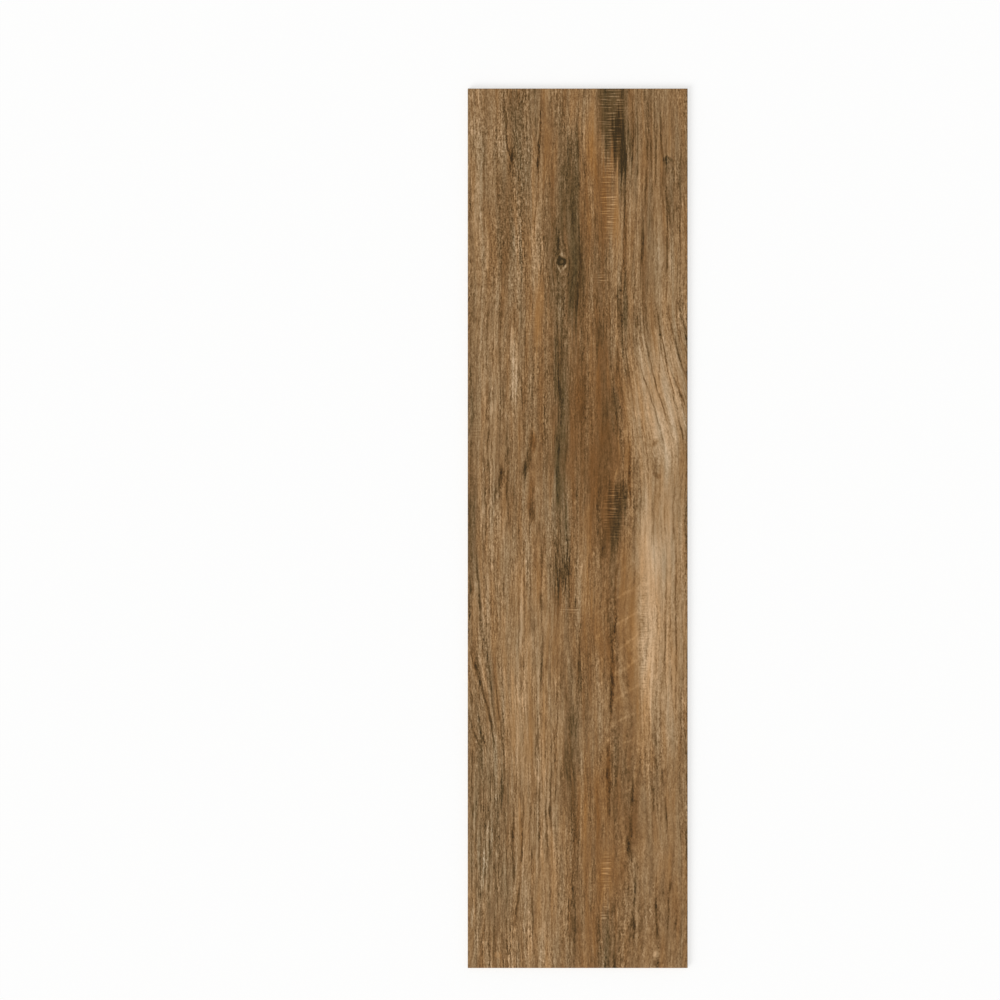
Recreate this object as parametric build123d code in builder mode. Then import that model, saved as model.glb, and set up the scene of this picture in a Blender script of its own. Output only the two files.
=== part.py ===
"""Wood-look porcelain plank tile: one pressed, fired and edge-ground piece of stoneware.

The face is up. The tile is dry-pressed from powder, so its back carries the relief of
the press punch: a lattice of low ribs with drafted flanks round shallow cells, inside a
plain border. After firing, the four edges are ground square to size and the arris round
the face is eased with a small bevel. Print and glaze are fused into the body, so the
whole tile is a single solid.

Frame: millimetres, +Z up out of the face, +Y along the tile, +X across it. The origin
is the middle of the back, on the plane of the rib tops that the tile rests on.
"""

import os

from build123d import *

# Outside of the ground tile
tile_width = 300.0
tile_length = 1200.0
tile_thickness = 9.0  # from the rib tops to the face
face_bevel = 0.8  # leg of the 45 degree bevel round the face

# Pressed relief on the back
rib_height = 0.8
rib_width = 4.0  # at the rib tops, between two cells
rib_draft = 30.0  # lean of the rib flanks from upright, in degrees
cell_across = 32.0  # open size of one cell at the rib tops, over the tile's width
cell_along = 32.0  # the same, over the tile's length
border_least = 8.0  # least plain margin between the outer cells and the ground edges


def cells_that_fit(side, cell):
    """How many cells, with a rib between each two, fit between the borders of a side."""
    return int((side - 2 * border_least + rib_width) // (cell + rib_width))


# One cell of the relief, narrower at its floor than at the rib tops
with BuildPart() as back_cell:
    with BuildSketch():
        Rectangle(cell_across, cell_along)
    extrude(amount=rib_height, taper=rib_draft)

with BuildPart() as plank_tile:
    # Pressed blank, ground square to its size
    with BuildSketch():
        Rectangle(tile_width, tile_length)
    extrude(amount=tile_thickness)

    # Eased arris round the face
    face = plank_tile.faces().sort_by(Axis.Z)[-1]
    chamfer(face.edges(), length=face_bevel)

    # Lattice of cells pressed into the back
    with GridLocations(
        cell_across + rib_width,
        cell_along + rib_width,
        cells_that_fit(tile_width, cell_across),
        cells_that_fit(tile_length, cell_along),
    ):
        add(back_cell.part, mode=Mode.SUBTRACT)

plank_tile.part.label = "plank_tile"

os.makedirs("parts", exist_ok=True)
export_step(plank_tile.part, "parts/plank_tile.step")
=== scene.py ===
"""Wood-look porcelain plank tile: one pressed, printed, fired and edge-ground piece of stoneware.

The face is a matt glaze printed with old, weathered planking: straight fibres, bent growth lines, grey
and ochre stains, a few knots and saw marks. The grain is also pressed into the face as a shallow relief.
The sides and the ribbed back are bare stoneware. Every place on the face is in millimetres from the middle
of the tile, across (+X) and along (+Y). Tones run from 0, the darkest ink, to 100, the palest.
"""
from math import pi
from typing import NamedTuple

import bpy
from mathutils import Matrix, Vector


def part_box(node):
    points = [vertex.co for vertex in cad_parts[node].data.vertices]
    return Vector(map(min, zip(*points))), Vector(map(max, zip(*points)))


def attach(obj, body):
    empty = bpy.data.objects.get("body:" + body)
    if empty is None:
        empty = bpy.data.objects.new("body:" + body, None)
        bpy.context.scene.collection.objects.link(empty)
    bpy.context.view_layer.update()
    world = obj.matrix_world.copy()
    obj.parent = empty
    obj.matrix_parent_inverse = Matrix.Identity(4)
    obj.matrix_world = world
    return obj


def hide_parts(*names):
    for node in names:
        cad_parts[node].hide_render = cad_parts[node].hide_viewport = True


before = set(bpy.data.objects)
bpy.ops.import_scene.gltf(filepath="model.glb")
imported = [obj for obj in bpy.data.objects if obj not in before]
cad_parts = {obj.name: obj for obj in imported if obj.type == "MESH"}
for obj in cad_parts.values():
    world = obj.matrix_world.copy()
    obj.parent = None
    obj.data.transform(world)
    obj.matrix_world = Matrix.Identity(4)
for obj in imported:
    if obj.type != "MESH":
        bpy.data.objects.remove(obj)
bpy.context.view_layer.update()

bl_info = {
    "name": "Porcelain Plank Tile",
    "version": (1, 0, 0),
    "blender": (4, 5, 0),
    "location": "3D View > Sidebar > Tile",
    "description": "Models a wood-look porcelain plank tile and the studio it lies in",
    "category": "Add Mesh",
}

NODE = "plank_tile"
BODY = "root"
MM = 0.001
tile_low, tile_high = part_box(NODE)


def linear(code):
    """A colour written as sRGB hex, as the linear red, green and blue that nodes take."""
    parts = [int(code[place:place + 2], 16) / 255 for place in (1, 3, 5)]
    return [part / 12.92 if part <= 0.04045 else ((part + 0.055) / 1.055) ** 2.4 for part in parts]


class Streak(NamedTuple):
    """One mark of the print: an ellipse drawn out along the grain, even in the middle and soft at the rim.

    The tone makes the print darker or paler, and the warmth tints it ochre or grey. The lean is how far the
    mark moves across for each millimetre along, and the bow how far both its ends bend aside.
    """

    name: str
    across: float
    along: float
    half_width: float
    half_length: float
    tone: float
    warmth: float = 0.0
    lean: float = 0.0
    bow: float = 0.0


# Broad stains: grey where the old wood weathered, ochre where it kept its colour, pale where it was planed.
STAINS = (
    Streak("left edge, silvered", -139, 520, 17, 120, 7, -0.2),
    Streak("left edge, tan fibres", -138, 390, 16, 110, 7, 0.0),
    Streak("mottled tan", -112, 530, 17, 120, 3, -0.1),
    Streak("mottled brown", -101, 410, 16, 90, -12, -0.05),
    Streak("mottled grey brown", -74, 530, 26, 130, -6, -0.2),
    Streak("dark mottling", -84, 540, 10, 60, -5, -0.2),
    Streak("pale speckle", -83, 350, 12, 75, 4, -0.25),
    Streak("light strip", -56, 385, 14, 110, 5, 0.1),
    Streak("light strip, core", -53, 440, 8, 66, 10, 0.05, 0.13),
    Streak("dark beside the head crack", -87, 580, 12, 24, -10, -0.2),
    Streak("ochre beside the ridge", -44, 525, 17, 90, -4, 0.22),
    Streak("brown beside the strip", -32, 425, 17, 75, -8, 0.0),
    Streak("upper grey streak", -10, 470, 15, 92, -22, -0.5, 0.04),
    Streak("upper grey streak, core", -9, 470, 9, 60, -8, 0.0),
    Streak("grey streak past the knot", -4, 365, 13, 100, -25, -0.35),
    Streak("grey streak past the knot, core", -3, 385, 8, 36, -10, -0.1),
    Streak("grey streak, lower end", -5, 308, 17, 66, -8, -0.1),
    Streak("upper grey streak, side", -22, 520, 12, 62, -7, -0.1),
    Streak("grey round the knot", -25, 352, 21, 90, -13, -0.3),
    Streak("orange at the head", 16, 548, 22, 85, 7, 0.2),
    Streak("orange heartwood", 20, 462, 22, 105, -3, 0.5),
    Streak("brown below the heart", 20, 340, 34, 100, -9, 0.15),
    Streak("smoked patch", 47, 580, 25, 84, -31, -0.3),
    Streak("smoked patch, core", 57, 520, 15, 50, -40, -0.1),
    Streak("smoked patch, bulge", 70, 522, 9, 34, -23, -0.2),
    Streak("smoked patch, tail", 62, 475, 9, 55, -18, -0.2),
    Streak("sawn orange", 43, 448, 18, 80, -4, 0.4),
    Streak("light strip by the saw marks", 53, 415, 9, 75, 8, 0.25),
    Streak("right side, head", 98, 548, 38, 100, -1, 0.0),
    Streak("below the side knot", 122, 466, 9, 62, -17, -0.15),
    Streak("right side, paler", 125, 340, 34, 95, 8, -0.1),
    Streak("right side, light fibres", 101, 470, 9, 36, 8, 0.0),
    Streak("right side, shade", 85, 375, 11, 80, -5, 0.0),
    Streak("planed pale", 110, 172, 46, 126, 25, -0.15),
    Streak("planed pale, lower", 112, 60, 46, 165, 10, -0.1),
    Streak("brown in the pale", 107, 104, 17, 40, -13, 0.0),
    Streak("brown at the pale's tip", 105, 266, 12, 24, -7, 0.0),
    Streak("tan in the pale", 95, 140, 17, 78, -7, 0.2),
    Streak("tan strip", 72, 150, 12, 150, 5, 0.25),
    Streak("left edge band", -144, 150, 11, 280, -3, -0.2),
    Streak("left edge band, dark end", -144, -5, 11, 100, -14, -0.25),
    Streak("left pale fibres", -118, 190, 22, 160, 5, -0.1),
    Streak("left pale fibres, foot", -114, 10, 18, 55, 12, -0.05),
    Streak("left pale fibres, middle", -126, 45, 12, 42, 8, 0.0),
    Streak("pale flame", -87, 222, 8, 58, 26, -0.3),
    Streak("orange patch", -54, 295, 20, 70, 3, 0.35),
    Streak("brown by the grey streak", -44, 190, 24, 120, -4, 0.2),
    Streak("brown by the left mark", -46, 95, 11, 44, -8, 0.1),
    Streak("middle grey streak", -21, 228, 15, 90, -17, -0.4),
    Streak("middle grey link", -20, 160, 13, 50, -8, -0.2),
    Streak("middle grey streak, lower", -24, 85, 12, 75, -21, -0.5),
    Streak("middle grey streak, side", -35, 100, 10, 32, -8, -0.1),
    Streak("grey haze", -24, 10, 22, 75, -6, -0.45),
    Streak("grey haze, blot", -15, 2, 9, 32, -10, -0.2),
    Streak("dark blot", -22, -63, 14.5, 26, -36, -0.1),
    Streak("red brown below the blot", -26, -98, 11, 28, -11, 0.4),
    Streak("brown right of the blot", -11, -110, 12, 62, -6, 0.0),
    Streak("large ochre", 23, 135, 55, 200, -12, 0.44),
    Streak("dark ochre band", 33, 100, 22, 110, -5, 0.15),
    Streak("grey in the ochre", 47, 165, 15, 38, -6, -0.3),
    Streak("tan left of the ochre", 0, 190, 17, 110, -5, 0.0),
    Streak("light in the ochre", 20, 228, 12, 32, 5, 0.0),
    Streak("tail of the smoked patch", 62, 297, 9, 55, -20, -0.2),
    Streak("grey spot", 29, 258, 9, 26, -14, -0.3),
    Streak("sawn dark patch", 53, 18, 17, 54, -25, -0.25),
    Streak("sawn dark patch, core", 59, 34, 11, 30, -9, 0.0),
    Streak("sawn dark patch, foot", 41, -14, 22, 36, -13, 0.0),
    Streak("pale band", 93, -95, 19, 190, 26, 0.0),
    Streak("pale band, foot", 91, -235, 15, 100, 14, 0.1),
    Streak("beside the pale band", 124, -130, 36, 220, 19, -0.05),
    Streak("light beside the band", 108, -170, 11, 90, 6, 0.0),
    Streak("orange by the crack", 67, -150, 20, 180, 6.5, 0.5),
    Streak("brown by the crack", 33, -95, 24, 130, -2, 0.4),
    Streak("tan by the crack", 40, -250, 24, 90, 6, 0.1),
    Streak("orange thread", 12, -55, 10, 120, 8, 0.35),
    Streak("brown below the thread", 10, -185, 18, 95, -9, 0.15),
    Streak("left tan", -85, -105, 60, 150, 8, 0.05),
    Streak("left tan, lower", -68, -265, 60, 110, 10, 0.05),
    Streak("left veering lines", -131, -268, 26, 100, -4, -0.15),
    Streak("low grey streak, start", -7, -226, 14, 70, -11, -0.1),
    Streak("low grey streak", -8, -298, 15, 66, -15, -0.1),
    Streak("low grey streak, middle", -13, -365, 15, 75, -15, 0.0),
    Streak("low grey streak, end", -5, -490, 15, 150, -10, 0.1),
    Streak("low orange", 32, -425, 41, 170, -2, 0.49),
    Streak("brown beside the strand", 8, -250, 9, 52, -6, 0.1),
    Streak("low dark thread", 71, -390, 10, 110, -9, 0.15),
    Streak("right low, light", 96, -315, 14, 52, 5, 0.1),
    Streak("right low", 115, -395, 46, 120, 2, 0.08),
    Streak("right foot", 115, -540, 46, 80, -4, 0.08),
    Streak("low tan", -50, -455, 42, 170, 10, 0.05),
    Streak("left grey", -122, -385, 38, 120, -2, -0.4),
    Streak("left grey, foot", -126, -500, 36, 90, 2, -0.2),
    Streak("left foot, brown", -119, -552, 17, 24, -7, 0.15),
    Streak("foot grey", 37, -575, 18, 70, -15, -0.35),
    Streak("foot orange", 16, -572, 14, 80, 1, 0.4),
    Streak("foot tan", -62, -580, 48, 50, 6, 0.0),
)

# Narrow lines: growth lines, drying cracks and the knots' marks. Dark ones are pressed in as grooves too.
LINES = (
    Streak("ridge", -52, 520, 2.2, 95, -28, 0.3, 0.033),
    Streak("ridge, light side", -54.5, 530, 1.7, 80, 12, 0.0, 0.033),
    Streak("ridge, foot", -58, 425, 1.8, 45, -18, 0.2, 0.05),
    Streak("head crack", -98, 562, 2.3, 46, -30, 0.1, -0.063),
    Streak("head crack, bend", -92, 513, 2.6, 22, -32, 0.1, -0.3),
    Streak("head crack, tail", -91, 493, 2.3, 18, -20, 0.1, 0.12),
    Streak("head crack, blot", -87, 510, 5, 15, -12),
    Streak("mottle edge", -127.5, 475, 1.9, 115, -15, 0.1),
    Streak("mottle edge, light", -123, 368, 2.2, 40, 14),
    Streak("grey crease", -77.5, 378, 2.4, 34, -20, -0.2),
    Streak("knot", -22.4, 363.5, 8, 9, -24, -0.3),
    Streak("knot, light stroke 1", -26, 355, 2.6, 8, 26, -0.2, -0.5),
    Streak("knot, light stroke 2", -19, 355, 2.6, 8, 26, -0.2, 0.6),
    Streak("knot, light flame", -22, 374, 3, 9, 20, -0.2),
    Streak("right grain 1", 74, 530, 1.6, 90, -13),
    Streak("right grain 2", 81, 520, 1.7, 110, -19),
    Streak("right grain 3", 94, 505, 1.7, 120, -18),
    Streak("right grain 4", 106, 530, 1.7, 90, -18),
    Streak("right grain 5", 115, 530, 2.0, 70, -20),
    Streak("right grain 6", 131, 470, 1.6, 130, -15),
    Streak("right grain 7", 140, 440, 1.7, 120, -17),
    Streak("right grain 8", 89, 390, 2.3, 42, -21, 0.1, 0.03),
    Streak("right grain 9", 121.5, 376, 2.0, 80, -22, 0.1),
    Streak("right grain 10", 64, 388, 3.2, 76, -21, 0.2),
    Streak("right light 1", 58.5, 428, 2.1, 34, 14, 0.1),
    Streak("right light 2", 72.5, 428, 2.2, 36, 14),
    Streak("right light 3", 101, 478, 2.2, 26, 12),
    Streak("right edge", 149, 0, 1.6, 760, -13),
    Streak("side knot, left stroke", 118.5, 505, 4, 5.5, -20, -0.2, 0.67),
    Streak("side knot, right stroke", 125, 504, 4, 5.5, -20, -0.2, -0.83),
    Streak("side knot, blot", 121, 502, 5.5, 6, -24, -0.3),
    Streak("side knot, smudge", 121.5, 494, 6, 14, -14, -0.3),
    Streak("dark dot", 111, 264, 1.9, 2.6, -40, -0.2),
    Streak("swept line 1", 113, 262, 1.7, 55, -28, 0.0, -0.2, 4.2),
    Streak("swept line 2", 133, 255, 2.2, 62, -32, 0.0, -0.25, 2.8),
    Streak("swept line 3", 142, 290, 1.7, 28, -24, 0.0, -0.28),
    Streak("swept line 4", 112, 232, 1.5, 52, -20),
    Streak("swept line 5", 106, 203, 1.8, 85, -30, 0.0, -0.27, 1.2),
    Streak("swept line 6", 102, 170, 1.7, 76, -26, 0.0, -0.285, -3),
    Streak("swept line 7", 131, 180, 1.8, 78, -28, 0.0, -0.235, 1),
    Streak("swept line 8", 139, 185, 1.6, 34, -24, 0.0, -0.37),
    Streak("swept line 9", 106, 273, 1.7, 40, -18, 0.0, -0.13),
    Streak("swept line 10", 81, 279, 2.2, 32, -22, 0.1, -0.07),
    Streak("squiggle 1", 105.5, 117, 5, 7, -13, 0.2, 0.4),
    Streak("squiggle 2", 104, 86, 3, 14, -14, 0.2),
    Streak("squiggle 3", 107, 72, 6, 6, -15, 0.2, -0.5),
    Streak("pale line 1", 92, 12, 1.8, 48, -14),
    Streak("pale line 2", 101.5, 6, 1.7, 44, -13),
    Streak("pale line 3", 119.5, 14, 1.8, 28, -15),
    Streak("pale line 4", 132, 26, 1.8, 64, -15),
    Streak("left mark, head", -62, 118, 7, 18, -14, 0.4),
    Streak("left mark, core", -69, 92, 6, 30, -28, 0.0, 0.17),
    Streak("left mark, thread", -73, 64, 2.0, 32, -12),
    Streak("left drip", -62, 38, 6.5, 38, -12, 0.3),
    Streak("left drip, foot", -61, 17, 5.5, 13, -12, 0.1),
    Streak("left check", -97, 98, 2.8, 38, -20),
    Streak("left check, blot", -104, 70, 6.5, 18, -22, 0.1),
    Streak("left check, middle", -96, 58, 2.3, 28, -22),
    Streak("left check, lower", -94, 22, 2.1, 28, -20, 0.0, -0.03),
    Streak("left check, light", -97.5, 22, 2.1, 24, 13),
    Streak("pale fibre line 1", -127, 60, 1.7, 90, -14),
    Streak("pale fibre line 2", -122, 50, 1.7, 95, -15),
    Streak("pale fibre line 3", -117, 65, 1.7, 85, -14),
    Streak("pale fibre light 1", -124.5, 55, 1.7, 85, 10),
    Streak("pale fibre light 2", -119.5, 60, 1.7, 90, 11),
    Streak("pale fibre light 3", -114.5, 50, 1.7, 80, 10),
    Streak("left spot", -106, 292, 4.0, 28, -18),
    Streak("grey thread 1", -25, 277, 1.8, 30, 17),
    Streak("grey thread 2", -29, 270, 1.8, 44, -14),
    Streak("grey thread 3", -22, 245, 2.0, 48, -15),
    Streak("grey thread 4", -24, 184, 2.2, 28, -16),
    Streak("grey thread 5", -29, 162, 1.9, 28, 11),
    Streak("grey thread 6", -25, 95, 2.0, 40, -14),
    Streak("grey thread 7", -31.5, 60, 1.8, 34, 11),
    Streak("grey thread 8", -28, 58, 1.9, 32, -17),
    Streak("grey thread 9", -20, 60, 1.8, 34, 9),
    Streak("ochre light 1", 9.7, 217, 1.9, 16, 13),
    Streak("ochre light 2", 55.5, 114, 2.1, 30, 15, 0.2),
    Streak("ochre light 3", 53, 71, 2.1, 16, 13, 0.2),
    Streak("ochre light 4", 52, 258, 2.3, 24, 12),
    Streak("ochre line", 55, 226, 3.0, 28, -15),
    Streak("brown thread", 71, 80, 2.8, 54, -22, 0.3),
    Streak("long crack", 49, -168, 3.4, 165, -15, 0.3, 0.04, -0.9),
    Streak("long crack, upper swelling", 50, -141, 6, 34, -10, 0.1),
    Streak("long crack, lower swelling", 46, -230, 5.5, 42, -11, 0.1),
    Streak("left long line", -49, -132, 1.9, 165, -20),
    Streak("light fibre", -76, -116, 2.6, 80, 22),
    Streak("dark left of the fibre", -80, -118, 1.7, 78, -14),
    Streak("dark right of the fibre", -71.5, -112, 1.9, 62, -17),
    Streak("left dark line 1", -147.5, -112, 2.2, 58, -22, -0.1),
    Streak("left dark line 2", -135, -88, 2.3, 74, -27, -0.1, -0.03),
    Streak("left dark line 2, foot", -130.5, -146, 2.2, 38, -22, -0.1, -0.08),
    Streak("left dark line 3", -126, -110, 1.7, 60, -13, -0.2, -0.04),
    Streak("left light 1", -141.5, -80, 2.2, 62, 11, -0.2),
    Streak("left light 2", -123.5, -85, 2.0, 66, 9),
    Streak("veering line 1", -136, -203, 2.4, 62, -26, 0.1, -0.27, 3),
    Streak("veering light 1", -131, -196, 1.9, 46, 13, 0.0, -0.22, 2),
    Streak("veering line 2", -123, -245, 2.0, 52, -22, 0.0, -0.19, 1),
    Streak("veering light 2", -120, -236, 1.8, 50, 12, 0.0, -0.16),
    Streak("veering line 3", -117.5, -227, 1.9, 66, -15, 0.0, -0.14),
    Streak("veering line 4", -111, -228, 1.8, 66, -13, 0.0, -0.14),
    Streak("veering line 5", -138, -250, 2.0, 40, -21, 0.0, -0.35),
    Streak("veering light 3", -134, -262, 1.9, 36, 12, 0.0, -0.35),
    Streak("veering line 6", -138, -283, 2.0, 36, -20, 0.0, -0.4),
    Streak("veering line 7", -129, -283, 1.9, 40, -18, 0.0, -0.25),
    Streak("veering line 8", -116, -282, 1.8, 40, -16, 0.0, -0.12),
    Streak("veering line 9", -105, -270, 1.7, 50, -14, 0.0, -0.1),
    Streak("short dark line", 2, -180, 2.2, 42, -15),
    Streak("tan line, upper 1", -54, -290, 1.9, 40, -19),
    Streak("tan line, upper 2", -44.5, -292, 1.9, 44, -19),
    Streak("tan line, upper 3", -37, -295, 1.8, 40, -16),
    Streak("crack's lower run", 42, -342, 4.0, 80, -28, 0.2),
    Streak("left dark spot", -103, -358, 3.4, 32, -30, -0.2),
    Streak("left low line", -87, -440, 2.6, 62, -30, 0.1),
    Streak("low dark line", 73, -391, 3.2, 66, -18, 0.1, 0.03),
    Streak("olive blot, upper", 66, -336, 8, 16, -11, -0.1),
    Streak("olive blot, lower", 71, -431, 6, 22, -13, 0.1),
    Streak("right low line 1", 102.5, -370, 1.7, 80, -13),
    Streak("right low line 2", 108, -365, 1.7, 85, -13),
    Streak("right low line 3", 113.5, -375, 1.7, 75, -13),
    Streak("right low line 4", 120.5, -370, 1.7, 80, -13),
    Streak("right foot crack", 107, -520, 1.8, 70, -18),
    Streak("right foot line", 124.5, -512, 2.3, 46, -24, 0.1, 0.07),
    Streak("right foot line, outer", 135.5, -526, 2.0, 30, -20),
    Streak("right foot thread", 77, -525, 2.3, 78, -26, 0.0, 0.03),
    Streak("right foot thread, light", 81, -525, 2.1, 70, 10, 0.0, 0.03),
    Streak("pale burst", 107, -581, 7, 6, 28),
    Streak("dark below the burst", 110, -593, 9, 7, -16, 0.1),
    Streak("foot line", 50, -580, 2.2, 45, -20, -0.1),
    Streak("low grey thread", -3, -545, 2.0, 60, -15),
    Streak("low grey streak, thread", -9, -285, 2.4, 50, -8),
    Streak("pink strand", -4, -222, 3.2, 32, 15),
    Streak("light strand", -83, -295, 2.6, 55, 16),
    Streak("light strand, right", -41, -357, 3.6, 80, 9),
    Streak("tan line 1", -76, -415, 2.2, 82, -29, 0.1, 0.02),
    Streak("tan line 1, foot", -83, -518, 2.4, 46, -25, 0.1, 0.17),
    Streak("tan light 1", -81.5, -388, 2.4, 46, 14),
    Streak("tan line 2", -52, -400, 2.2, 98, -29, 0.1),
    Streak("tan light 2", -47, -415, 2.2, 80, 12),
    Streak("tan line 3", -61, -460, 2.3, 32, -24, 0.1, -0.05),
    Streak("tan line 3, foot", -62, -520, 2.2, 34, -23, 0.1, -0.1),
    Streak("tan light 3", -56, -452, 2.0, 28, 12),
    Streak("tan line 4", -42, -385, 2.0, 90, -23, 0.1),
    Streak("tan line 5", -36, -390, 1.7, 90, -16, 0.1),
    Streak("tan line 6", -71, -562, 2.0, 22, -16, 0.1),
    Streak("tan line 7", -30, -300, 1.7, 110, -15, 0.1),
    Streak("tan line 8", -66, -385, 1.7, 70, -13, 0.1),
    Streak("right line 1", 120, -125, 1.8, 160, -17),
    Streak("right line 2", 134, -125, 2.0, 170, -21),
    Streak("right line 3", 127, -180, 1.6, 110, -13),
    Streak("right line 4", 143, -200, 1.6, 150, -14),
    Streak("left grey line 1", -144, -430, 1.9, 150, -18),
    Streak("left grey line 2", -138, -420, 1.8, 130, -16),
    Streak("left grey line 3", -132, -440, 1.9, 120, -18),
    Streak("left grey line 4", -126, -430, 1.8, 110, -16),
    Streak("left grey line 5", -120, -440, 1.9, 140, -18),
    Streak("left grey line 6", -114, -420, 1.8, 110, -16),
    Streak("left grey line 7", -108, -450, 1.8, 100, -14),
    Streak("left grey line 8", -97, -460, 1.8, 110, -13),
    Streak("left grey light 1", -141, -400, 2.0, 30, 14, -0.2),
    Streak("left grey light 2", -135, -445, 2.0, 30, 4, -0.2),
    Streak("left grey light 3", -129, -475, 2.0, 60, 4, -0.2),
    Streak("left grey light 4", -117, -405, 1.9, 50, 12, -0.2),
    Streak("left grey light 5", -143, -528, 2.4, 24, 16, -0.4),
    Streak("left grey light 6", -123, -420, 1.9, 60, 6, -0.2),
    Streak("foot spot", -110, -582, 6, 6, 14, 0.3),
)

# Places that show the saw's marks. The tone is how strong they are, and below zero they are dark.
SAWN = (
    Streak("head patch", 46, 562, 21, 84, 0.9),
    Streak("orange", 42, 448, 14, 68, 0.8),
    Streak("middle patch", 50, 22, 19, 48, 0.8),
    Streak("low ticks", 39, -468, 10, 30, 0.9),
    Streak("foot ticks", 36, -523, 7, 18, 0.8),
    Streak("two long ticks", -10, -112, 18, 6, 0.8),
    Streak("ticks by the orange patch", -63, 275, 10, 30, 0.3),
    Streak("ticks below the patch", 31, 342, 13, 9, 0.9),
    Streak("left ticks", -139, 130, 12, 20, 0.3),
    Streak("ladder in the pale band", 90, -150, 8, 110, -0.4),
)

# Places that show the scraper's strokes. The tone is how strong they are.
SCRAPED = (
    Streak("right of the crack", 66, -190, 23, 200, 1.0),
    Streak("left of the crack", 33, -150, 12, 100, 0.6),
    Streak("low orange", 62, -420, 22, 90, 0.5),
)

# Places where the fine grain differs. The tone changes the share of its dots, the warmth that of its fibres.
MOTTLED = (
    Streak("planed pale", 112, 100, 46, 200, -0.3, -0.5),
    Streak("orange by the crack", 68, -180, 22, 190, -0.3, -0.5),
    Streak("head, left", -92, 460, 55, 210, 0.6, -0.35),
    Streak("pale speckle", -83, 355, 15, 75, 0.7, -0.2),
    Streak("right side", 108, 440, 46, 220, -0.5, -0.1),
    Streak("left pale fibres", -116, 150, 30, 170, -0.4, 0.2),
    Streak("pale band", 112, -120, 46, 240, -0.4, -0.35),
    Streak("tan", -55, -250, 55, 330, -0.4, 0.1),
    Streak("left foot", -122, -430, 34, 180, -0.2, 0.3),
    Streak("foot, left", -85, -575, 75, 55, 0.1, 0.4),
    Streak("grey past the knot", -5, 360, 15, 120, -0.3, -0.3),
    Streak("grey, lower", -22, 80, 16, 150, -0.3, -0.25),
    Streak("right foot", 112, -480, 48, 190, -0.45, -0.15),
)


class Pattern(NamedTuple):
    """An uneven pattern: the width and length of its grain, where its noise is cut from, and its strength."""

    width: float
    length: float
    seed: float
    amount: float = 1.0
    detail: float = 1.0


# Fine grain, with its change of tone. The real fibres are finer. These are as coarse as a tile seen from two
# metres still shows.
THREADS = Pattern(2.0, 120, 1.3, 14)
FLECKS = Pattern(2.0, 26, 9.1, 15)
DASHES = Pattern(1.9, 8, 4.7, 16)
SPECKLE = Pattern(1.9, 2.6, 13.9, 13)

# Fine growth lines: they run where the pattern is within an edge of zero. Flecks break every line.
RINGS = Pattern(9, 330, 17.1, -12, 0.0)
RING_EDGE = 0.14
FLECK_BREAKS = 0.6

# The plain print, and how its tone, its warmth and the strength of its fine grain drift from place to place.
BASE_TONE = 54
BASE_WARMTH = 0.3
TONE_DRIFT = Pattern(13, 700, 21.7, 9)
WARMTH_DRIFT = Pattern(9, 110, 25.3, 0.45, 2.0)
STRENGTH_DRIFT = Pattern(22, 120, 29.9, 0.25)

# How far the grain, the lines, the stains' ends and sides, and the fibres stray.
GRAIN_WAVER = Pattern(70, 260, 3.1, 5)
LINE_WAVER = Pattern(30, 60, 7.7, 2)
LINE_SHAKE = Pattern(8, 16, 47.3, 1)
RAGGED_ENDS = Pattern(3.2, 240, 11.3, 35)
RAGGED_SIDES = Pattern(9, 90, 5.9, 5)
FRAYING = Pattern(3, 5, 45.1, 1.4)


class ToolMarks(NamedTuple):
    """Marks of a tool: their pitch and half width, and the change of tone on a mark and between marks."""

    pitch: float
    half_width: float
    tone: float
    tone_between: float


# The saw cut straight across the grain. Its marks are coarser than real ones so that they show.
SAW = ToolMarks(3.8, 1.2, 44, -9)
SAW_SHAKE = Pattern(70, 7, 31.3, 2)
SAW_WEAR = Pattern(13, 4, 33.9)

# The scraper's strokes rise to the right by the slant. One crosses the middle of the tile at the start.
SCRAPER = ToolMarks(34, 3.6, 14, 0)
SCRAPER_SHAKE = Pattern(30, 30, 43.7, 4)
SCRAPER_SLANT = 0.65
SCRAPER_START = 4.7


class Bend(NamedTuple):
    """A sweep of the grain: it moves over by reach between two heights, fully on one side of the tile."""

    still_across: float
    full_across: float
    upper: float
    lower: float
    reach: float


BENDS = (
    Bend(20, 150, 310, 90, 34),
    Bend(-60, -150, -140, -290, 15),
)


class Knot(NamedTuple):
    """A round knot: its middle, the pitch of its rings, the reach they fade over and their change of tone."""

    across: float
    along: float
    pitch: float
    reach: float
    tone: float


KNOT = Knot(-22.4, 363.5, 8.2, 15, 30)
KNOT_OUTLINE = Pattern(7, 7, 37.1, 1.4)
# Its width over its length.
KNOT_ROUNDNESS = 0.85

# The fibres part round the knot: half the width and length of that place, and the share that they move aside.
PARTED_WIDTH = 26
PARTED_LENGTH = 45
PARTED_SHARE = 0.7

# The ink's browns by tone.
BROWNS = (
    (0, "#34250a"),
    (15, "#4c3718"),
    (30, "#644b29"),
    (45, "#7b5e3d"),
    (60, "#917450"),
    (75, "#a78a67"),
    (90, "#bd9e7a"),
    (100, "#ccad89"),
)
FULL_TONE = 100

# A line of this tone is pressed to the full depth of a groove, and the fine growth lines to a share of it.
GROOVE_TONE = -24
RING_GROOVE = 0.35

# The fired body: its coarse grit, drawn larger so that it shows, and the patches of kiln wash.
GRIT = 1.6 * MM
WASH_PATCH = 45 * MM

# The mesh: edges up to this angle are smooth, and faces that look up at least this far carry the print.
SMOOTH_ANGLE = 0.5
PRINTED_UP = 0.3

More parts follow.
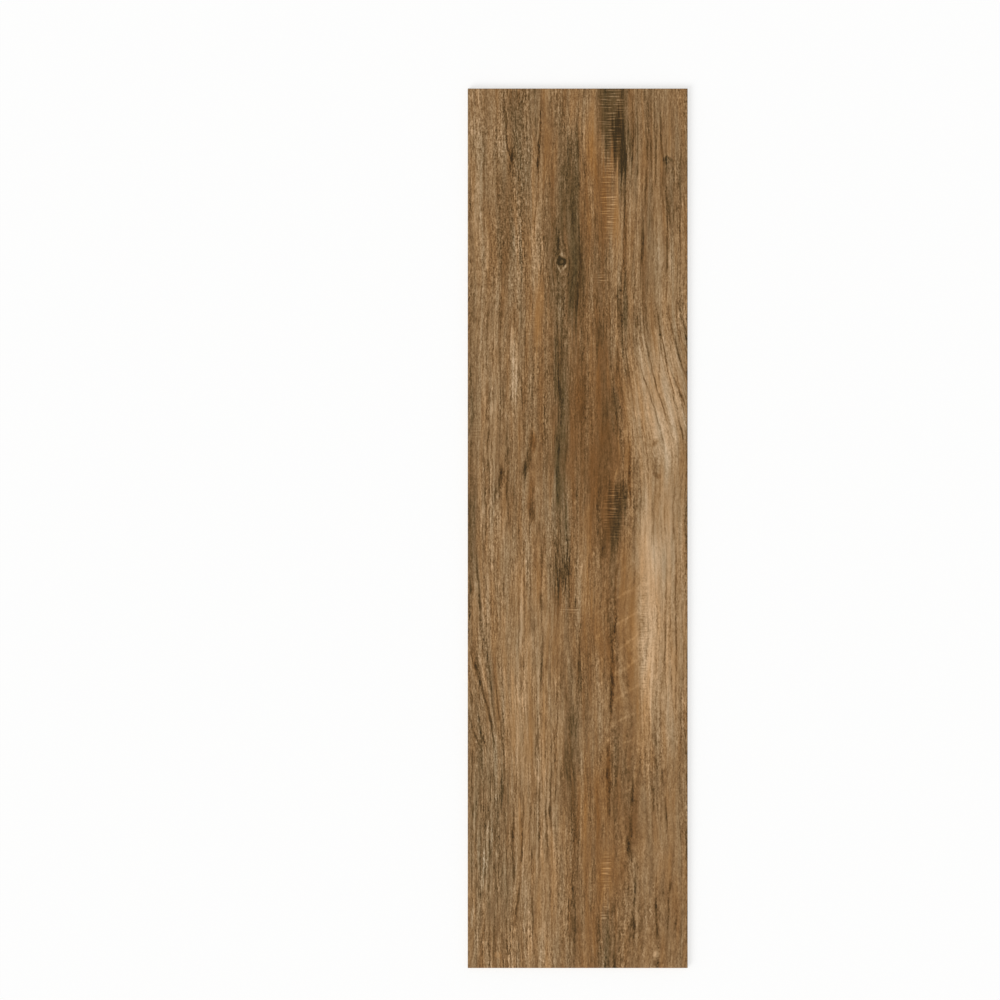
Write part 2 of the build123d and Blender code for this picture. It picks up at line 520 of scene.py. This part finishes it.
# The stage: the floor, and a soft key lamp from the lower left, 40 degrees above the floor.
FLOOR_SIZE = 60
FLOOR_GAP = 0.2 * MM
FLOOR_GLOW = 0.6
KEY_TURN = (0.55, -0.72, 0.0)
KEY_SPREAD = 0.6
SENSOR_WIDTH = 36.0


class TileSettings(bpy.types.PropertyGroup):
    """Sizes of the plank tile's mesh and colours of its print and body."""

    face_columns: bpy.props.IntProperty(
        name="Face columns", description="Faces across the pressed face", default=320, min=8)
    face_rows: bpy.props.IntProperty(
        name="Face rows", description="Faces along the pressed face", default=285, min=8)
    bevel: bpy.props.FloatProperty(
        name="Bevel", description="Leg of the ground bevel round the face", default=0.8 * MM,
        unit="LENGTH", precision=4)
    groove_depth: bpy.props.FloatProperty(
        name="Groove depth", description="Depth of the pressed growth lines", default=0.28 * MM,
        unit="LENGTH", precision=5)
    fibre_depth: bpy.props.FloatProperty(
        name="Fibre depth", description="Depth of the pressed fibres", default=0.09 * MM,
        unit="LENGTH", precision=5)
    cell: bpy.props.FloatProperty(
        name="Back cell", description="Side of one cell between the ribs of the back", default=32 * MM,
        unit="LENGTH", precision=4)
    rib: bpy.props.FloatProperty(
        name="Back rib", description="Width of a rib's top on the back", default=4 * MM,
        unit="LENGTH", precision=4)
    rib_height: bpy.props.FloatProperty(
        name="Rib height", description="Height of the ribs on the back", default=0.8 * MM,
        unit="LENGTH", precision=5)
    rib_flank: bpy.props.FloatProperty(
        name="Rib flank", description="How far a rib's side leans out over its height", default=0.46 * MM,
        unit="LENGTH", precision=5)
    ochre: bpy.props.FloatVectorProperty(
        name="Ochre", description="Tint of the warm heartwood", subtype="COLOR", default=linear("#ffe6c0"))
    stoneware: bpy.props.FloatVectorProperty(
        name="Stoneware", description="Fired body of the tile", subtype="COLOR", default=linear("#b7a389"))
    kiln_wash: bpy.props.FloatVectorProperty(
        name="Kiln wash", description="Pale dust on the back", subtype="COLOR", default=linear("#ded6c8"))


class StudioSettings(bpy.types.PropertyGroup):
    """The floor, lamps and camera."""

    floor_colour: bpy.props.FloatVectorProperty(
        name="Floor", description="Plain pale floor", subtype="COLOR", default=linear("#fbfbfa"))
    sky: bpy.props.FloatProperty(
        name="Sky", description="Even light from all round", default=0.66, min=0)
    key: bpy.props.FloatProperty(
        name="Key", description="Light that the key lamp adds on the floor", default=0.34, min=0)
    lens: bpy.props.FloatProperty(
        name="Lens", description="Focal length of the camera", default=135, unit="CAMERA")
    view_width: bpy.props.FloatProperty(
        name="View width", description="Width of the picture at the tile's face", default=1.3642,
        unit="LENGTH", precision=4)
    view_across: bpy.props.FloatProperty(
        name="View across", description="Where the camera stands across the tile", default=-0.1060,
        unit="LENGTH", precision=4)
    view_along: bpy.props.FloatProperty(
        name="View along", description="Where the camera stands along the tile", default=0.0386,
        unit="LENGTH", precision=4)


# Node building

GROUP_NODES = {"ShaderNodeTree": "ShaderNodeGroup", "GeometryNodeTree": "GeometryNodeGroup"}
MATH = "ShaderNodeMath"
VECTOR = "ShaderNodeVectorMath"


def add_node(tree, kind, inputs=None, **settings):
    """Adds one node with its settings. An input is a value to set or a socket to link, by name or place."""
    added = tree.nodes.new(kind)
    for name, value in settings.items():
        setattr(added, name, value)
    for place, value in (inputs or {}).items():
        if isinstance(value, bpy.types.NodeSocket):
            tree.links.new(value, added.inputs[place])
        else:
            added.inputs[place].default_value = value
    return added.outputs


def streak_group(kind, bent):
    """The mark that every stain, line and mask is drawn with: it adds its change to the sum given."""
    name = f"{'Bent' if bent else 'Straight'} grain streak {kind}"
    if name in bpy.data.node_groups:
        return bpy.data.node_groups[name]
    group = bpy.data.node_groups.new(name, kind)
    for socket in ("Place", "Sum", "Spread", "Shift", "Change"):
        group.interface.new_socket(socket, in_out="INPUT", socket_type="NodeSocketVector")
    for socket in ("Along", "Centre along", "Lean", "Bow") if bent else ():
        group.interface.new_socket(socket, in_out="INPUT", socket_type="NodeSocketFloat")
    group.interface.new_socket("Sum", in_out="OUTPUT", socket_type="NodeSocketVector")
    given = add_node(group, "NodeGroupInput")
    place = given["Place"]
    if bent:
        rise = add_node(group, MATH, {0: given["Along"], 1: given["Centre along"]}, operation="SUBTRACT")[0]
        slope = add_node(group, MATH, {0: rise, 1: given["Bow"], 2: given["Lean"]},
                         operation="MULTIPLY_ADD")[0]
        aside = add_node(group, MATH, {0: rise, 1: slope}, operation="MULTIPLY")[0]
        aside = add_node(group, "ShaderNodeCombineXYZ", {"X": aside})[0]
        place = add_node(group, VECTOR, {0: place, 1: aside}, operation="SUBTRACT")[0]
    inside = add_node(group, VECTOR, {0: place, 1: given["Spread"], 2: given["Shift"]},
                      operation="MULTIPLY_ADD")[0]
    away = add_node(group, VECTOR, {0: inside, 1: inside}, operation="DOT_PRODUCT")["Value"]
    mark = add_node(group, "ShaderNodeMapRange", {"Value": away, "From Min": 1.0, "From Max": 0.1},
                    interpolation_type="SMOOTHSTEP")[0]
    change = add_node(group, VECTOR, {0: given["Change"], "Scale": mark}, operation="SCALE")[0]
    total = add_node(group, VECTOR, {0: given["Sum"], 1: change}, operation="ADD")[0]
    add_node(group, "NodeGroupOutput", {0: total})
    return group


def add_streaks(tree, streaks, place, along):
    """Adds up the streaks and gives the sum of their tones as X and of their warmths as Y."""
    total = (0, 0, 0)
    for streak in streaks:
        bent = bool(streak.lean or streak.bow)
        inputs = {
            "Place": place, "Sum": total,
            "Spread": (1 / streak.half_width, 1 / streak.half_length, 0),
            "Shift": (-streak.across / streak.half_width, -streak.along / streak.half_length, 0),
            "Change": (streak.tone, streak.warmth, 0),
        }
        if bent:
            inputs |= {"Along": along, "Centre along": streak.along, "Lean": streak.lean,
                       "Bow": streak.bow / streak.half_length ** 2}
        total = add_node(tree, GROUP_NODES[tree.bl_idname], inputs,
                         node_tree=streak_group(tree.bl_idname, bent), label=streak.name)[0]
    return add_node(tree, "ShaderNodeSeparateXYZ", {0: total})


def grain_pattern(tree, place, pattern):
    """An uneven pattern about zero, drawn out along the grain."""
    scaled = add_node(tree, VECTOR, {
        0: place,
        1: (1 / pattern.width, 1 / pattern.length, 0),
        2: (pattern.seed, pattern.seed * 1.7, 0)}, operation="MULTIPLY_ADD")[0]
    return add_node(tree, "ShaderNodeTexNoise", {"Vector": scaled, "Scale": 1.0, "Detail": pattern.detail},
                    noise_dimensions="2D", normalize=False)[0]


def strayed(tree, value, place, pattern):
    """A value that strays by the pattern's amount from place to place."""
    return add_node(tree, MATH, {0: grain_pattern(tree, place, pattern), 1: pattern.amount, 2: value},
                    operation="MULTIPLY_ADD")[0]


def moved(tree, place, amount, reach):
    """A place moved by an amount times a reach across and along."""
    move = add_node(tree, VECTOR, {0: (*reach, 0), "Scale": amount}, operation="SCALE")[0]
    return add_node(tree, VECTOR, {0: place, 1: move}, operation="ADD")[0]


def wavered(tree, place, source, pattern):
    """A place moved across by a pattern that is read at the source."""
    return moved(tree, place, grain_pattern(tree, source, pattern), (pattern.amount, 0))


def grain_place(tree, metres):
    """A place on the face in millimetres, and the same place followed along the grain's own bends."""
    flat = add_node(tree, VECTOR, {0: metres, "Scale": 1 / MM}, operation="SCALE")[0]
    parts = add_node(tree, "ShaderNodeSeparateXYZ", {0: flat})
    grain = wavered(tree, flat, flat, GRAIN_WAVER)
    for bend in BENDS:
        down = add_node(tree, "ShaderNodeMapRange", {
            "Value": parts["Y"], "From Min": bend.upper, "From Max": bend.lower},
            interpolation_type="SMOOTHSTEP")[0]
        side = add_node(tree, "ShaderNodeMapRange", {
            "Value": parts["X"], "From Min": bend.still_across, "From Max": bend.full_across},
            interpolation_type="SMOOTHSTEP")[0]
        swept = add_node(tree, MATH, {0: down, 1: side}, operation="MULTIPLY")[0]
        grain = moved(tree, grain, swept, (-bend.reach, 0))

    # The fibres part round the knot.
    out = add_node(tree, VECTOR, {0: flat, 1: (KNOT.across, KNOT.along, 0)}, operation="SUBTRACT")[0]
    spread = add_node(tree, VECTOR, {0: out, 1: (1 / PARTED_WIDTH, 1 / PARTED_LENGTH, 0)},
                      operation="MULTIPLY")[0]
    near = add_node(tree, "ShaderNodeTexGradient", {0: spread}, gradient_type="SPHERICAL")[1]
    aside = add_node(tree, "ShaderNodeSeparateXYZ", {0: out})["X"]
    parted = add_node(tree, MATH, {0: near, 1: aside}, operation="MULTIPLY")[0]
    return flat, parts["X"], parts["Y"], moved(tree, grain, parted, (-PARTED_SHARE, 0))


def growth_lines(tree, grain):
    """Fine lines along the grain, 1 on the line and 0 beside it: the level line of a drawn-out pattern."""
    level = grain_pattern(tree, grain, RINGS)
    level = add_node(tree, MATH, {0: level}, operation="ABSOLUTE")[0]
    return add_node(tree, "ShaderNodeMapRange", {
        "Value": level, "From Max": RING_EDGE, "To Min": 1.0, "To Max": 0.0})[0]


def drawn_lines(tree, flat, along):
    """The narrow listed lines, with a slow waver and a short one."""
    place = flat
    for waver in (LINE_WAVER, LINE_SHAKE):
        place = wavered(tree, place, flat, waver)
    return add_streaks(tree, LINES, place, along)


def stained_print(tree, flat, along, grain):
    """Tone and warmth of the plain print with its stains, whose ends run out fibre by fibre."""
    ragged = moved(tree, flat, grain_pattern(tree, grain, RAGGED_ENDS), (0, RAGGED_ENDS.amount))
    ragged = wavered(tree, ragged, grain, RAGGED_SIDES)
    stains = add_streaks(tree, STAINS, ragged, along)
    tone = strayed(tree, BASE_TONE, grain, TONE_DRIFT)
    tone = add_node(tree, MATH, {0: tone, 1: stains["X"]}, operation="ADD")[0]
    warmth = strayed(tree, BASE_WARMTH, grain, WARMTH_DRIFT)
    warmth = add_node(tree, MATH, {0: warmth, 1: stains["Y"]}, operation="ADD")[0]
    return tone, warmth


def fine_grain(tree, flat, along, grain, threads, flecks):
    """Threads and flecks along the grain, dashes and a speckle over them, in their shares at each place."""
    dashes = grain_pattern(tree, grain, DASHES)
    speckle = grain_pattern(tree, flat, SPECKLE)
    mottled = add_streaks(tree, MOTTLED, flat, along)
    dots = add_node(tree, MATH, {0: dashes, 1: DASHES.amount}, operation="MULTIPLY")[0]
    dots = add_node(tree, MATH, {0: speckle, 1: SPECKLE.amount, 2: dots}, operation="MULTIPLY_ADD")[0]
    dotted = add_node(tree, MATH, {0: mottled["X"], 1: 1.0}, operation="ADD")[0]
    fine = add_node(tree, MATH, {0: threads, 1: THREADS.amount}, operation="MULTIPLY")[0]
    fine = add_node(tree, MATH, {0: flecks, 1: FLECKS.amount, 2: fine}, operation="MULTIPLY_ADD")[0]
    straight = add_node(tree, MATH, {0: mottled["Y"], 1: 1.0}, operation="ADD")[0]
    fine = add_node(tree, MATH, {0: fine, 1: straight}, operation="MULTIPLY")[0]
    return add_node(tree, MATH, {0: dots, 1: dotted, 2: fine}, operation="MULTIPLY_ADD")[0]


def grain_strength(tree, grain, warmth, sawn):
    """How strong the fine grain is: calm in the warm heartwood and where the saw cut it away, and patchy."""
    calm = add_node(tree, "ShaderNodeMapRange", {
        "Value": warmth, "From Min": 0.4, "From Max": 0.95, "To Min": 1.0, "To Max": 0.5})[0]
    uncut = add_node(tree, "ShaderNodeMapRange", {"Value": sawn, "To Min": 1.0, "To Max": 0.3})[0]
    patches = add_node(tree, "ShaderNodeMapRange", {
        "Value": grain_pattern(tree, grain, STRENGTH_DRIFT), "From Min": -0.4, "From Max": 0.4,
        "To Min": 1 - STRENGTH_DRIFT.amount, "To Max": 1 + STRENGTH_DRIFT.amount})[0]
    strength = add_node(tree, MATH, {0: calm, 1: uncut}, operation="MULTIPLY")[0]
    return add_node(tree, MATH, {0: strength, 1: patches}, operation="MULTIPLY")[0]


def tool_marks(tree, way, marks):
    """The change of tone from marks at an even pitch along the way given."""
    off = add_node(tree, MATH, {0: way, 1: marks.pitch / 2}, operation="PINGPONG")[0]
    return add_node(tree, "ShaderNodeMapRange", {
        "Value": off, "From Max": marks.half_width, "To Min": marks.tone, "To Max": marks.tone_between})[0]


def saw_marks(tree, flat, along):
    """The saw's marks straight across the grain, worn off in places."""
    teeth = tool_marks(tree, strayed(tree, along, flat, SAW_SHAKE), SAW)
    worn = add_node(tree, "ShaderNodeMapRange", {
        "Value": grain_pattern(tree, flat, SAW_WEAR), "From Min": -0.45, "From Max": 0.25})[0]
    return add_node(tree, MATH, {0: teeth, 1: worn}, operation="MULTIPLY")[0]


def scraper_strokes(tree, flat, across, along):
    """The scraper's slanting strokes."""
    slant = add_node(tree, MATH, {0: across, 1: -SCRAPER_SLANT, 2: along}, operation="MULTIPLY_ADD")[0]
    slant = add_node(tree, MATH, {0: slant, 1: SCRAPER_START}, operation="SUBTRACT")[0]
    return tool_marks(tree, strayed(tree, slant, flat, SCRAPER_SHAKE), SCRAPER)


def with_knot(tree, tone, flat):
    """A tone with the round knot added: light in the middle, a dark ring, and a light rim that fades."""
    out = add_node(tree, VECTOR, {0: flat, 1: (KNOT.across, KNOT.along, 0)}, operation="SUBTRACT")[0]
    out = add_node(tree, VECTOR, {0: out, 1: (1, KNOT_ROUNDNESS, 0)}, operation="MULTIPLY")[0]
    out = add_node(tree, VECTOR, {0: out}, operation="LENGTH")["Value"]
    uneven = strayed(tree, out, flat, KNOT_OUTLINE)
    turns = add_node(tree, MATH, {0: uneven, 1: 2 * pi / KNOT.pitch}, operation="MULTIPLY")[0]
    ring = add_node(tree, MATH, {0: turns}, operation="COSINE")[0]
    fade = add_node(tree, "ShaderNodeMapRange", {
        "Value": out, "From Max": KNOT.reach, "To Min": KNOT.tone, "To Max": 0.0},
        interpolation_type="SMOOTHSTEP")[0]
    return add_node(tree, MATH, {0: ring, 1: fade, 2: tone}, operation="MULTIPLY_ADD")[0]


def ink_colour(tree, tone, warmth, ochre):
    """The ink's colour: the tone picks a brown, and the warmth tints it towards ochre or greys it."""
    shade = add_node(tree, MATH, {0: tone, 1: 1 / FULL_TONE}, operation="MULTIPLY")[0]
    brown = add_node(tree, "ShaderNodeValToRGB", {0: shade})[0]
    stops = brown.node.color_ramp.elements
    while len(stops) < len(BROWNS):
        stops.new(0.5)
    for stop, (place, code) in zip(stops, BROWNS):
        stop.position = place / FULL_TONE
        stop.color = (*linear(code), 1)
    return add_node(tree, "ShaderNodeMix", {0: warmth, 6: brown, 7: (*ochre, 1)},
                    data_type="RGBA", blend_type="MULTIPLY", clamp_factor=False)[2]


# Materials

def new_material(name):
    """An empty node material, and the tree to fill."""
    material = bpy.data.materials.new(name)
    material.use_nodes = True
    material.node_tree.nodes.clear()
    return material, material.node_tree


def printed_glaze(settings):
    """Matt glaze over an ink-jet print: a flat, barely shining skin that shows the print's grain."""
    material, tree = new_material("Matt glazed wood print")
    metres = add_node(tree, "ShaderNodeTexCoord")["Object"]
    flat, across, along, grain = grain_place(tree, metres)
    tone, warmth = stained_print(tree, flat, along, grain)

    # Fine grain, with frayed fibres.
    sawn = add_streaks(tree, SAWN, flat, along)["X"]
    frayed = wavered(tree, grain, flat, FRAYING)
    threads = grain_pattern(tree, frayed, THREADS)
    flecks = grain_pattern(tree, frayed, FLECKS)
    fine = fine_grain(tree, flat, along, grain, threads, flecks)
    strength = grain_strength(tree, grain, warmth, sawn)
    tone = add_node(tree, MATH, {0: fine, 1: strength, 2: tone}, operation="MULTIPLY_ADD")[0]

    # Growth lines: a fine set all over, and the listed ones. The flecks break them.
    rings = growth_lines(tree, grain)
    lines = drawn_lines(tree, flat, along)
    rings = add_node(tree, MATH, {0: rings, 1: strength}, operation="MULTIPLY")[0]
    drawn = add_node(tree, MATH, {0: rings, 1: RINGS.amount, 2: lines["X"]}, operation="MULTIPLY_ADD")[0]
    broken = add_node(tree, MATH, {0: flecks, 1: -FLECK_BREAKS, 2: 1.0}, operation="MULTIPLY_ADD")[0]
    tone = add_node(tree, MATH, {0: drawn, 1: broken, 2: tone}, operation="MULTIPLY_ADD")[0]
    warmth = add_node(tree, MATH, {0: warmth, 1: lines["Y"]}, operation="ADD")[0]

    # Marks of the tools, and the knot.
    teeth = saw_marks(tree, flat, along)
    tone = add_node(tree, MATH, {0: teeth, 1: sawn, 2: tone}, operation="MULTIPLY_ADD")[0]
    scraped = add_streaks(tree, SCRAPED, flat, along)["X"]
    strokes = scraper_strokes(tree, flat, across, along)
    tone = add_node(tree, MATH, {0: strokes, 1: scraped, 2: tone}, operation="MULTIPLY_ADD")[0]
    tone = with_knot(tree, tone, flat)

    # Surface: the fibres stand in the glaze, and it shines a little unevenly.
    height = add_node(tree, MATH, {0: threads, 1: flecks}, operation="ADD")[0]
    bump = add_node(tree, "ShaderNodeBump", {"Height": height, "Strength": 1.0, "Distance": 0.06 * MM})[0]
    rough = add_node(tree, "ShaderNodeMapRange", {
        "Value": flecks, "From Min": -0.5, "From Max": 0.5, "To Min": 0.5, "To Max": 0.64})[0]
    glaze = add_node(tree, "ShaderNodeBsdfPrincipled", {
        "Base Color": ink_colour(tree, tone, warmth, settings.ochre), "Roughness": rough, "Normal": bump,
        "Specular IOR Level": 0.15})[0]
    add_node(tree, "ShaderNodeOutputMaterial", {"Surface": glaze})
    return material


def fired_stoneware(settings):
    """Dry-pressed, unglazed porcelain stoneware: dense, chalky and speckled, with kiln wash on the back."""
    material, tree = new_material("Fired porcelain stoneware")
    metres = add_node(tree, "ShaderNodeTexCoord")["Object"]
    grit = add_node(tree, "ShaderNodeTexNoise", {"Vector": metres, "Scale": 1 / GRIT, "Detail": 3.0})[0]
    cloud = add_node(tree, "ShaderNodeTexNoise", {
        "Vector": metres, "Scale": 1 / WASH_PATCH, "Detail": 4.0})[0]
    speck = add_node(tree, "ShaderNodeMapRange", {
        "Value": grit, "From Min": 0.3, "From Max": 0.7, "To Min": 0.8, "To Max": 1.14})[0]
    body = add_node(tree, VECTOR, {0: tuple(settings.stoneware), "Scale": speck}, operation="SCALE")[0]
    height = add_node(tree, "ShaderNodeSeparateXYZ", {0: metres})["Z"]
    low = add_node(tree, "ShaderNodeMapRange", {
        "Value": height, "From Min": 0.0, "From Max": settings.rib_height, "To Min": 1.0, "To Max": 0.0})[0]
    dust = add_node(tree, "ShaderNodeMapRange", {
        "Value": cloud, "From Min": 0.35, "From Max": 0.65, "To Min": 0.15, "To Max": 0.85})[0]
    dust = add_node(tree, MATH, {0: low, 1: dust}, operation="MULTIPLY")[0]
    colour = add_node(tree, "ShaderNodeMix", {0: dust, 6: body, 7: (*settings.kiln_wash, 1)},
                      data_type="RGBA")[2]
    bump = add_node(tree, "ShaderNodeBump", {"Height": grit, "Strength": 0.6, "Distance": 0.1 * MM})[0]
    rough = add_node(tree, "ShaderNodeMapRange", {"Value": grit, "To Min": 0.72, "To Max": 0.9})[0]
    clay = add_node(tree, "ShaderNodeBsdfPrincipled", {
        "Base Color": colour, "Roughness": rough, "Normal": bump, "Specular IOR Level": 0.35})[0]
    add_node(tree, "ShaderNodeOutputMaterial", {"Surface": clay})
    return material


# Mesh

def pressed_relief(settings):
    """The relief that the patterned punch leaves in the face, always down from the tile's full height."""
    tree = bpy.data.node_groups.new("Pressed grain relief", "GeometryNodeTree")
    for side in ("INPUT", "OUTPUT"):
        tree.interface.new_socket("Geometry", in_out=side, socket_type="NodeSocketGeometry")
    mesh = add_node(tree, "NodeGroupInput")[0]
    metres = add_node(tree, "GeometryNodeInputPosition")[0]
    flat, _, along, grain = grain_place(tree, metres)
    lines = drawn_lines(tree, flat, along)["X"]
    deep = add_node(tree, "ShaderNodeMapRange", {
        "Value": lines, "From Min": 0.0, "From Max": GROOVE_TONE, "To Max": settings.groove_depth})[0]
    rings = growth_lines(tree, grain)
    deep = add_node(tree, MATH, {0: rings, 1: settings.groove_depth * RING_GROOVE, 2: deep},
                    operation="MULTIPLY_ADD")[0]
    hollow = add_node(tree, "ShaderNodeMapRange", {
        "Value": grain_pattern(tree, grain, THREADS), "From Min": 0.5, "From Max": -0.5,
        "To Max": settings.fibre_depth})[0]
    deep = add_node(tree, MATH, {0: deep, 1: hollow}, operation="ADD")[0]
    down = add_node(tree, MATH, {0: deep, 1: -1.0}, operation="MULTIPLY")[0]
    offset = add_node(tree, "ShaderNodeCombineXYZ", {"Z": down})[0]

    # Only the flat of the face is pressed, not the bevel below its rim.
    height = add_node(tree, "ShaderNodeSeparateXYZ", {0: metres})["Z"]
    on_face = add_node(tree, MATH, {0: height, 1: tile_high.z - 0.1 * settings.bevel},
                       operation="GREATER_THAN")[0]
    pressed = add_node(tree, "GeometryNodeSetPosition", {
        "Geometry": mesh, "Selection": on_face, "Offset": offset})[0]
    add_node(tree, "NodeGroupOutput", {0: pressed})
    return tree


def new_grid(name, columns, rows, width, length, height):
    """A flat grid of faces at its size and height, the only thing selected."""
    bpy.ops.object.select_all(action="DESELECT")
    bpy.ops.mesh.primitive_grid_add(
        x_subdivisions=columns, y_subdivisions=rows, size=1, location=(0, 0, height))
    grid = bpy.context.object
    grid.name = name
    grid.scale = (width, length, 1)
    bpy.ops.object.transform_apply(location=True, rotation=True, scale=True)
    return grid


def face_and_sides(settings, width, length, thickness):
    """The face grid with its bevel and sides folded down from the rim."""
    bevel = settings.bevel
    face = new_grid("wood_plank_tile", settings.face_columns, settings.face_rows,
                    width - 2 * bevel, length - 2 * bevel, thickness)
    bpy.ops.object.mode_set(mode="EDIT")
    bpy.ops.mesh.select_mode(type="EDGE")
    bpy.ops.mesh.select_all(action="SELECT")
    bpy.ops.mesh.region_to_loop()
    bpy.ops.mesh.extrude_edges_move(TRANSFORM_OT_translate={"value": (0, 0, -bevel)})
    bpy.ops.transform.resize(value=(width / (width - 2 * bevel), length / (length - 2 * bevel), 1),
                             center_override=(0, 0, 0))
    bpy.ops.mesh.extrude_edges_move(TRANSFORM_OT_translate={"value": (0, 0, bevel - thickness)})
    bpy.ops.object.mode_set(mode="OBJECT")
    return face


def ribbed_back(settings, width, length):
    """The back's cells between ribs: each face of a grid is inset and pushed in, with leaning sides."""
    pitch = settings.cell + settings.rib
    columns = round(width // pitch)
    rows = round(length // pitch)
    back = new_grid("ribbed_back", columns, rows, columns * pitch, rows * pitch, 0)
    bpy.ops.object.mode_set(mode="EDIT")
    bpy.ops.mesh.select_mode(type="FACE")
    bpy.ops.mesh.select_all(action="SELECT")
    bpy.ops.mesh.flip_normals()
    bpy.ops.mesh.inset(use_individual=True, thickness=settings.rib / 2)
    bpy.ops.mesh.inset(use_individual=True, thickness=settings.rib_flank, depth=-settings.rib_height)
    bpy.ops.object.mode_set(mode="OBJECT")
    return back


class TILE_OT_model_plank(bpy.types.Operator):
    """Model the plank tile: pressed face, ground bevel, sides and ribbed back, in one closed mesh"""

    bl_idname = "tile.model_plank"
    bl_label = "Model Plank Tile"

    def execute(self, context):
        settings = context.scene.plank_tile
        width, length, thickness = tile_high - tile_low
        back = ribbed_back(settings, width, length)
        tile = face_and_sides(settings, width, length, thickness)

        # One closed mesh: the flat border round the ribs fills the gap between both rims.
        back.select_set(True)
        bpy.ops.object.join()
        bpy.ops.object.mode_set(mode="EDIT")
        bpy.ops.mesh.select_mode(type="EDGE")
        bpy.ops.mesh.select_all(action="DESELECT")
        bpy.ops.mesh.select_non_manifold()
        bpy.ops.mesh.fill(use_beauty=True)
        bpy.ops.mesh.select_all(action="SELECT")
        bpy.ops.mesh.normals_make_consistent(inside=False)
        bpy.ops.object.mode_set(mode="OBJECT")

        relief = tile.modifiers.new("Pressed grain relief", "NODES")
        relief.node_group = pressed_relief(settings)
        bpy.ops.object.modifier_apply(modifier=relief.name)
        bpy.ops.object.shade_smooth_by_angle(angle=SMOOTH_ANGLE)

        tile.data.materials.append(printed_glaze(settings))
        tile.data.materials.append(fired_stoneware(settings))
        for face in tile.data.polygons:
            face.material_index = 0 if face.normal.z > PRINTED_UP else 1
        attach(tile, BODY)
        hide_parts(NODE)
        return {"FINISHED"}


def seen_directly(tree):
    """1 where the camera, a reflection or glass looks at the surface, 0 where it only lights other things."""
    rays = add_node(tree, "ShaderNodeLightPath")
    seen = add_node(tree, MATH, {0: rays["Is Camera Ray"], 1: rays["Is Glossy Ray"]}, operation="MAXIMUM")[0]
    return add_node(tree, MATH, {0: seen, 1: rays["Is Transmission Ray"]}, operation="MAXIMUM")[0]


class TILE_OT_set_stage(bpy.types.Operator):
    """Set the stage: pale floor, soft studio light and a camera straight above the face"""

    bl_idname = "tile.set_stage"
    bl_label = "Set Stage"

    def execute(self, context):
        studio = context.scene.tile_studio
        scene = context.scene
        scene.view_settings.view_transform = "Standard"

        bpy.ops.object.select_all(action="DESELECT")
        bpy.ops.mesh.primitive_plane_add(size=FLOOR_SIZE, location=(0, 0, -FLOOR_GAP))
        floor = context.object
        floor.name = "studio_floor"
        material, tree = new_material("Pale studio floor")
        matt = add_node(tree, "ShaderNodeBsdfDiffuse", {"Color": (*studio.floor_colour, 1)})[0]
        glow = add_node(tree, "ShaderNodeEmission", {"Strength": 1.0})[0]
        share = add_node(tree, MATH, {0: seen_directly(tree), 1: FLOOR_GLOW}, operation="MULTIPLY")[0]
        mixed = add_node(tree, "ShaderNodeMixShader", {0: share, 1: matt, 2: glow})[0]
        add_node(tree, "ShaderNodeOutputMaterial", {"Surface": mixed})
        floor.data.materials.append(material)

        world = bpy.data.worlds.new("Studio sky")
        scene.world = world
        world.use_nodes = True
        world.node_tree.nodes.clear()
        tree = world.node_tree
        dim = add_node(tree, "ShaderNodeBackground", {"Color": (1, 1, 1, 1), "Strength": studio.sky})[0]
        bright = add_node(tree, "ShaderNodeBackground", {"Color": (1, 1, 1, 1), "Strength": 1.0})[0]
        mixed = add_node(tree, "ShaderNodeMixShader", {0: seen_directly(tree), 1: dim, 2: bright})[0]
        add_node(tree, "ShaderNodeOutputWorld", {"Surface": mixed})

        bpy.ops.object.light_add(type="SUN", rotation=KEY_TURN)
        key = context.object
        key.name = "key_lamp"
        key.data.angle = KEY_SPREAD
        drop = -(key.matrix_world.to_3x3() @ Vector((0, 0, -1))).z
        key.data.energy = studio.key * pi / drop

        distance = studio.view_width * studio.lens / SENSOR_WIDTH
        bpy.ops.object.camera_add(location=(studio.view_across, studio.view_along, tile_high.z + distance),
                                  rotation=(0, 0, 0))
        camera = context.object
        camera.data.sensor_width = SENSOR_WIDTH
        camera.data.lens = studio.lens
        camera.data.clip_end = 4 * distance
        scene.camera = camera
        return {"FINISHED"}


class TILE_PT_panel(bpy.types.Panel):
    """Buttons and settings for the plank tile"""

    bl_idname = "TILE_PT_panel"
    bl_label = "Porcelain Plank Tile"
    bl_space_type = "VIEW_3D"
    bl_region_type = "UI"
    bl_category = "Tile"

    def draw(self, context):
        for settings, operator in ((context.scene.plank_tile, TILE_OT_model_plank.bl_idname),
                                   (context.scene.tile_studio, TILE_OT_set_stage.bl_idname)):
            for name in settings.__annotations__:
                self.layout.prop(settings, name)
            self.layout.operator(operator)


CLASSES = (TileSettings, StudioSettings, TILE_OT_model_plank, TILE_OT_set_stage, TILE_PT_panel)


def register():
    for entry in CLASSES:
        bpy.utils.register_class(entry)
    bpy.types.Scene.plank_tile = bpy.props.PointerProperty(type=TileSettings)
    bpy.types.Scene.tile_studio = bpy.props.PointerProperty(type=StudioSettings)


def unregister():
    del bpy.types.Scene.tile_studio
    del bpy.types.Scene.plank_tile
    for entry in reversed(CLASSES):
        bpy.utils.unregister_class(entry)


def main():
    register()
    bpy.ops.tile.model_plank()
    bpy.ops.tile.set_stage()


if __name__ == "__main__":
    main()
